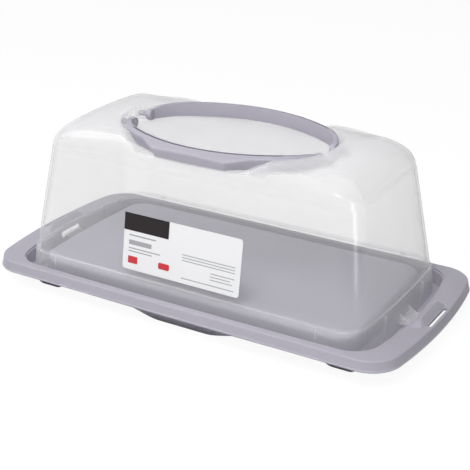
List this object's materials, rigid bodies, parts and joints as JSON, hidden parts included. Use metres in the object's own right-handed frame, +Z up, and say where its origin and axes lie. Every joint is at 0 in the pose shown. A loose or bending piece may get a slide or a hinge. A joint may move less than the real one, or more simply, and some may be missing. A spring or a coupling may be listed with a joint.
{
  "type": "cake carrier",
  "caption": "Loaf-shaped cake carrier: a clear tapered dome lifts off a rimmed tray, and bail handles fold flat into a pocket in its top.",
  "frame": {"origin": "middle of the footprint, on the floor under the feet", "axes": "+X along the length of the tray, -Y towards the front, +Z up"},
  "size_m": [0.404, 0.1954, 0.1555],
  "materials": {
    "tray_plastic": "satin moulded",
    "clear_plastic": "clear, slightly milky",
    "handle_plastic": "satin moulded"
  },
  "bodies": {
    "tray": {"tray": "tray_plastic"},
    "dome": {"dome": "clear_plastic"},
    "front_handle": {"front_handle": "handle_plastic"},
    "rear_handle": {"rear_handle": "handle_plastic"}
  },
  "joints": [
    {"name": "dome_lift", "type": "slide", "parent": "tray", "child": "dome", "axis": [0, 0, 1], "range_m": [0, 0.2]},
    {"name": "front_handle_hinge", "type": "hinge", "parent": "dome", "child": "front_handle", "pos_m": [0, -0.0135, 0.147], "axis": [-1, 0, 0], "range_deg": [0, 96]},
    {"name": "rear_handle_hinge", "type": "hinge", "parent": "dome", "child": "rear_handle", "pos_m": [0, 0.0135, 0.147], "axis": [1, 0, 0], "range_deg": [0, 96]}
  ]
}
